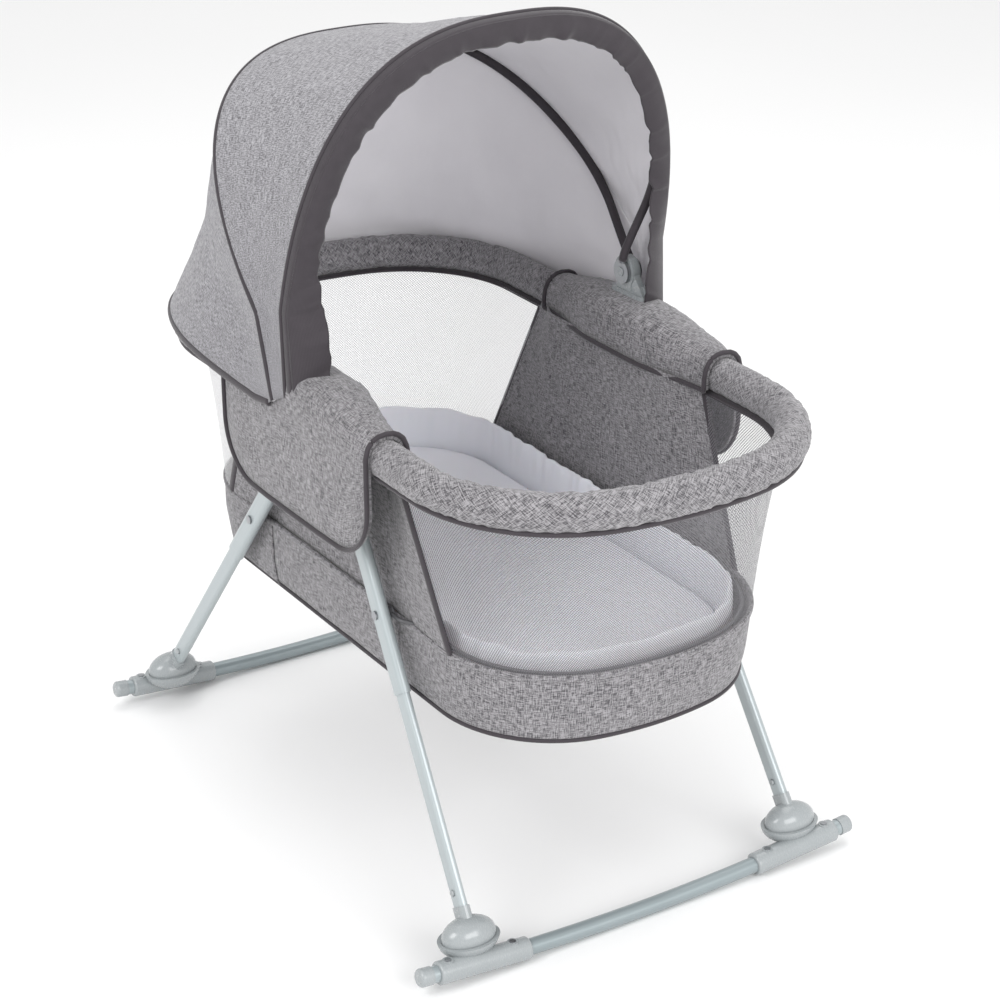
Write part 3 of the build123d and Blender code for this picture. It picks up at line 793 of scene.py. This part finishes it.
PAD_HALF, PAD_REACH, PAD_TOP, PAD_LOW = 0.1675, 0.3595, 0.3155, 0.2635
TOP_ROWS = 24
rows = []
for inset, z in ((0.01, PAD_LOW), (0.002, PAD_LOW + 0.004), (0.0, PAD_LOW + 0.012),
                 (0.0, PAD_TOP - 0.022), (0.0012, PAD_TOP - 0.013), (0.005, PAD_TOP - 0.006)):
    outline = whole_oval(PAD_HALF - inset, PAD_REACH - inset, 150)
    rows.append([Vector((x, y, z)) for x, y in outline])
rim_line = whole_oval(PAD_HALF - 0.010, PAD_REACH - 0.010, 150)
for i in range(TOP_ROWS):
    share = 1 - i / TOP_ROWS
    row = []
    for x, y in rim_line:
        place = Vector((x * share, y * share, 0))
        crown = 0.0035 * (1 - share ** 4)
        dent = wave(place, 0.055, 11.0, 0.0022) + wave(place, 0.018, 12.0, 0.0006)
        row.append(Vector((place.x, place.y, PAD_TOP - 0.0038 + crown + dent * (1 - share ** 6))))
    rows.append(row)
foam = cloth_piece("mattress_pad_cover", rows, cotton_white, wrap=True, lids=True)
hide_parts("mattress_pad")
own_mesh(foam)
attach(foam, "mattress")

ring = whole_oval(0.1737, 0.3660, 330)
EDGE_HALF_T, EDGE_LOW, EDGE_TOP = 0.0042, 0.2640, 0.362
EDGE_MID, EDGE_HALF_Z = (EDGE_TOP + EDGE_LOW) / 2, (EDGE_TOP - EDGE_LOW) / 2
EDGE_COUNT = 28


def raised_edge(x, y):
    """Section of the edge as (outward, z): flat sided, with puckers that grow upwards."""
    shape = []
    lift = wave((x, y, 0), 0.05, 21.0, 0.006)
    for k in range(EDGE_COUNT):
        a = 2 * math.pi * k / EDGE_COUNT
        up = math.sin(a)
        z = EDGE_MID + EDGE_HALF_Z * (abs(up) ** 0.5) * (1 if up > 0 else -1)
        loose = max(0.0, (z - 0.315) / (EDGE_TOP - 0.315))
        pucker = 0.0034 * loose * soften((x, y, z * 0.25), 0.011, 15.0)
        pucker += 0.0052 * loose * soften((x, y, z * 0.3), 0.032, 16.0)
        outward = EDGE_HALF_T * math.cos(a) * (1 + 0.15 * loose) + pucker
        shape.append((outward, z + lift * loose ** 2))
    return shape


path = [Vector((x, y, 0.0)) for x, y in ring]
rows = []
for i, p in enumerate(path):
    ahead = (path[(i + 1) % len(path)] - path[i - 1]).normalized()
    out = ahead.cross(Vector((0, 0, 1)))
    rows.append([p + out * a + Vector((0, 0, z)) for a, z in raised_edge(p.x, p.y)])
rows.append(rows[0])
edge = cloth_piece("mattress_raised_edge", rows, cotton_white, wrap=True)
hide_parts("mattress_edge")
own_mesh(edge)
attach(edge, "mattress")


# ---- canopy ---------------------------------------------------------------------------------
# Two steel bows turn in plastic mounts on the rail and carry a hood in two cloth panels.
# The hood is melange outside and pale lining inside, edged with charcoal piping.
AXIS_X, AXIS_Z = -0.003, 0.631
BOW_POWER = 2.6
FRONT = dict(tilt=13, half=0.2535, height=0.3645, base=AXIS_Z, power=BOW_POWER,
             tail=(0.008, 0.5735))
MID = dict(tilt=-49, half=0.2605, height=0.3935, base=AXIS_Z, power=BOW_POWER,
           tail=(-0.010, 0.5655))
HEM = dict(tilt=-90, half=0.2605, height=0.4600, base=0.5570, power=3.15,
           tail=(-0.018, 0.5600))


def arch(bow, inset, count, foot=0.045):
    """Evenly spaced line over a bow from its near foot to its far foot."""
    a = math.radians(bow["tilt"])
    half, height = bow["half"] - inset, bow["height"] - inset
    fine = []
    first = math.asin(min(1.0, (foot / height) ** (bow["power"] / 2)))
    for i in range(241):
        turn = first + (math.pi - 2 * first) * i / 240
        across = math.copysign(abs(math.cos(turn)) ** (2 / bow["power"]), -math.cos(turn))
        up = height * max(0.0, math.sin(turn)) ** (2 / bow["power"])
        fine.append(Vector((AXIS_X + math.sin(a) * up, half * across,
                            bow["base"] + math.cos(a) * up)))
    x, z = bow["tail"]
    low = Vector((x, -half + 0.002, z))
    fine = [low, low.lerp(fine[0], 0.5)] + fine
    fine += [Vector((p.x, -p.y, p.z)) for p in (fine[1], fine[0])]
    return even(fine, count)


def hood_panel(name, rear, front, inset, material, hollow):
    """Cloth stretched between two bows, hollow between them and finely creased."""
    columns, steps = 171, 44
    a, b = arch(rear, inset, columns), arch(front, inset, columns)
    centre = Vector((AXIS_X - 0.12, 0, 0.62))
    rows = []
    for i in range(steps + 1):
        s = i / steps
        free = math.sin(math.pi * s)
        row = []
        for j in range(columns):
            p = a[j].lerp(b[j], s)
            t = j / (columns - 1)
            ends = min(1.0, t * 12, (1 - t) * 12)
            out = (p - centre).normalized()
            dip = hollow * free * ends
            crease = soften((p.x * 0.5, p.y * 1.5, p.z), 0.07, 31.0) * 0.0042
            crease += soften((p.x * 2, p.y, p.z * 0.7), 0.022, 32.0) * 0.0011
            pull = soften((t * 1.3, s * 0.09, 0.0), 0.03, 33.0) * 0.0016 * (1 - free * 0.5)
            row.append(p + out * (-dip + (crease + pull) * min(1.0, free * 2.2) * ends))
        rows.append(row)
    return cloth_piece(name, rows, material)


lining = finish_named("pale_lining", cotton((0.80, 0.785, 0.81), (0.72, 0.705, 0.735)),
                      Roughness=0.8, Sheen_Weight=0.25)
hood_cloth = finish_named("hood_melange",
                          melange((0.365, 0.358, 0.38), (0.070, 0.067, 0.075)), **WOVEN)
AXIS = Vector((AXIS_X, 0, AXIS_Z))
HALVES = {
    "front": dict(rear=MID, front=FRONT, bodies=("mid_bow", "front_bow"), held_by="front_bow",
                  way=Vector((0.8, 0, 0.6)), span=(-0.020, 0.120), hollow=0.004,
                  cut=(0.41, 1.15), area=0.245),
    "rear": dict(rear=HEM, front=MID, bodies=("head_rail", "mid_bow"), held_by="mid_bow",
                 way=Vector((0.35, 0, 0.937)), span=(-0.045, 0.045), hollow=0.013,
                 cut=(0.46, 1.20), area=0.295),
}


def fold_along(piece, name):
    """Bakes the piece's placement into its mesh, for one half of the hood."""
    part = HALVES[name]
    first, last = part["span"]
    AXIS + part["way"] * first
    AXIS + part["way"] * last
    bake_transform(piece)


for name, part in HALVES.items():
    for cloth, inset, finish, slot, thick, offset in (
            ("cloth", 0.0, hood_cloth, "melange_fabric", 0.0014, -1.0),
            ("lining", 0.0045, lining, "lining", 0.0010, 1.0)):
        sheet = hood_panel(f"hood_{name}_{cloth}", part["rear"], part["front"], inset, finish,
                           part["hollow"])
        as_sheet(sheet, thick=thick,
                 offset=offset)
        if cloth == "cloth":
            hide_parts(f"canopy_{name}_panel")
        fold_along(sheet, name)

EDGE_POINTS, TAPE_AHEAD = 240, 0.0118
tilt = math.radians(FRONT["tilt"])
ahead = Vector((math.cos(tilt), 0, -math.sin(tilt)))
front_line, mid_line = arch(FRONT, 0, EDGE_POINTS), arch(MID, 0, EDGE_POINTS)
inner_line = arch(dict(FRONT, tail=(0.014, 0.5745)), 0.0025, EDGE_POINTS)
tape_line = [(p + q + ahead * TAPE_AHEAD) / 2 for p, q in zip(front_line, inner_line)]
second_line = [p + ahead * TAPE_AHEAD for p in inner_line]
for name, line, wide, high, half in (
        ("front_piping", front_line, PIPING, PIPING, "front"),
        ("front_second_piping", second_line, 0.0040, 0.0040, "front"),
        ("front_tape", tape_line, 0.0036, 0.0128, "front"),
        ("middle_piping", mid_line, 0.0062, 0.0062, "rear")):
    fold_along(trim(f"hood_{name}", line, None, wide, high, up=ahead), half)
trim("hood_hem_tape", arch(HEM, 0, EDGE_POINTS), "head_rail", 0.0058, 0.009)


def rounded(points, times=4):
    for _ in range(times):
        cut = [points[0]]
        for a, b in zip(points, points[1:]):
            cut += [a.lerp(b, 0.25), a.lerp(b, 0.75)]
        points = cut + [points[-1]]
    return points


def bow_line(bow, eye_y):
    """Line of a steel bow, from the eye on one side to the eye on the other."""
    tilt = math.radians(bow["tilt"])
    under_cloth = 0.0075
    half, height = bow["half"] - under_cloth, bow["height"] - under_cloth
    flat = [(eye_y, 0.016), (eye_y + 0.002, 0.034)]
    for i in range(11):
        a = 0.25 + (math.pi - 0.5) * i / 10
        flat.append((half * math.copysign(abs(math.cos(a)) ** (2 / BOW_POWER), math.cos(a)),
                     height * math.sin(a) ** (2 / BOW_POWER)))
    flat += [(-eye_y - 0.002, 0.034), (-eye_y, 0.016)]
    line = rounded([Vector((AXIS_X + math.sin(tilt) * up, y, AXIS_Z + math.cos(tilt) * up))
                    for y, up in flat])
    return even(line, 240)


black = finish_named("black_sleeve", ribbed_tape, Roughness=0.8)
trim("mid_bow_sleeve", bow_line(MID, 0.2298), "mid_bow", 0.0112, 0.0105, material=black,
     up=ahead)
trim("front_bow_sleeve", bow_line(FRONT, 0.2084), "front_bow", 0.0104, 0.0104, up=ahead)

rows = []
GATHERS, SKIRT_POINTS = 150, 700
outer_line = arch(dict(FRONT, tail=(0.014, 0.576)), 0.001, SKIRT_POINTS)
inner_line = []
for p in arch(dict(FRONT, tail=(-0.004, 0.600)), 0.029, SKIRT_POINTS):
    low = eased((0.76 - p.z) / 0.13)
    inner_line.append(p + Vector((0.030 * low, math.copysign(0.0115 * low, -p.y), 0)))
for i in range(13):
    s = i / 12
    row = []
    for j, (p, q) in enumerate(zip(outer_line, inner_line)):
        t = j / (len(outer_line) - 1)
        gather = 0.5 + 0.5 * math.sin(t * GATHERS + 4 * soften((t * 2.2, 0, 0), 0.2, 41.0))
        fold = gather ** 7 * (0.4 + soften((t * 3.0, 0, 0), 0.06, 43.0)) * 0.0045
        drape = soften((t * 1.25, s * 0.02, 0), 0.03, 44.0) * 0.0040
        shrink = 1 - 0.20 * s * abs(soften((t * 1.25, 0.0, 0), 0.035, 45.0))
        shrink -= 0.03 * gather ** 7
        belly = 0.0028 * math.sin(math.pi * s)
        row.append(p.lerp(q, s * shrink) + ahead * (0.0125 + belly + (fold + drape) * (s ** 0.8)))
    rows.append(row)
skirt = cloth_piece("hood_gathered_skirt", rows, charcoal)
as_sheet(skirt, thick=0.0012)
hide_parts("canopy_skirt")
fold_along(skirt, "front")
dress(steel, "mid_bow", "front_bow")


# ---- room ------------------------------------------------------------------------------------
# A plain pale floor carries the soft shadows under the rockers.
# It is matt and faintly clouded, and is part of the set, not of the bassinet.
def pale_floor(tree):
    cloud = grains(tree, object_place(tree), 0.8, 2.0)
    return {"Base Color": blended(tree, cloud, (0.86, 0.86, 0.86), (0.90, 0.90, 0.90))}


SPREAD = 14.0
mesh = bpy.data.meshes.new("floor")
mesh.from_pydata([(-SPREAD, -SPREAD, 0), (SPREAD, -SPREAD, 0), (SPREAD, SPREAD, 0),
                  (-SPREAD, SPREAD, 0)], [], [(0, 1, 2, 3)])
floor = bpy.data.objects.new("floor", mesh)
scene.collection.objects.link(floor)
mesh.materials.append(finish_named("pale_floor", pale_floor, Roughness=0.6))
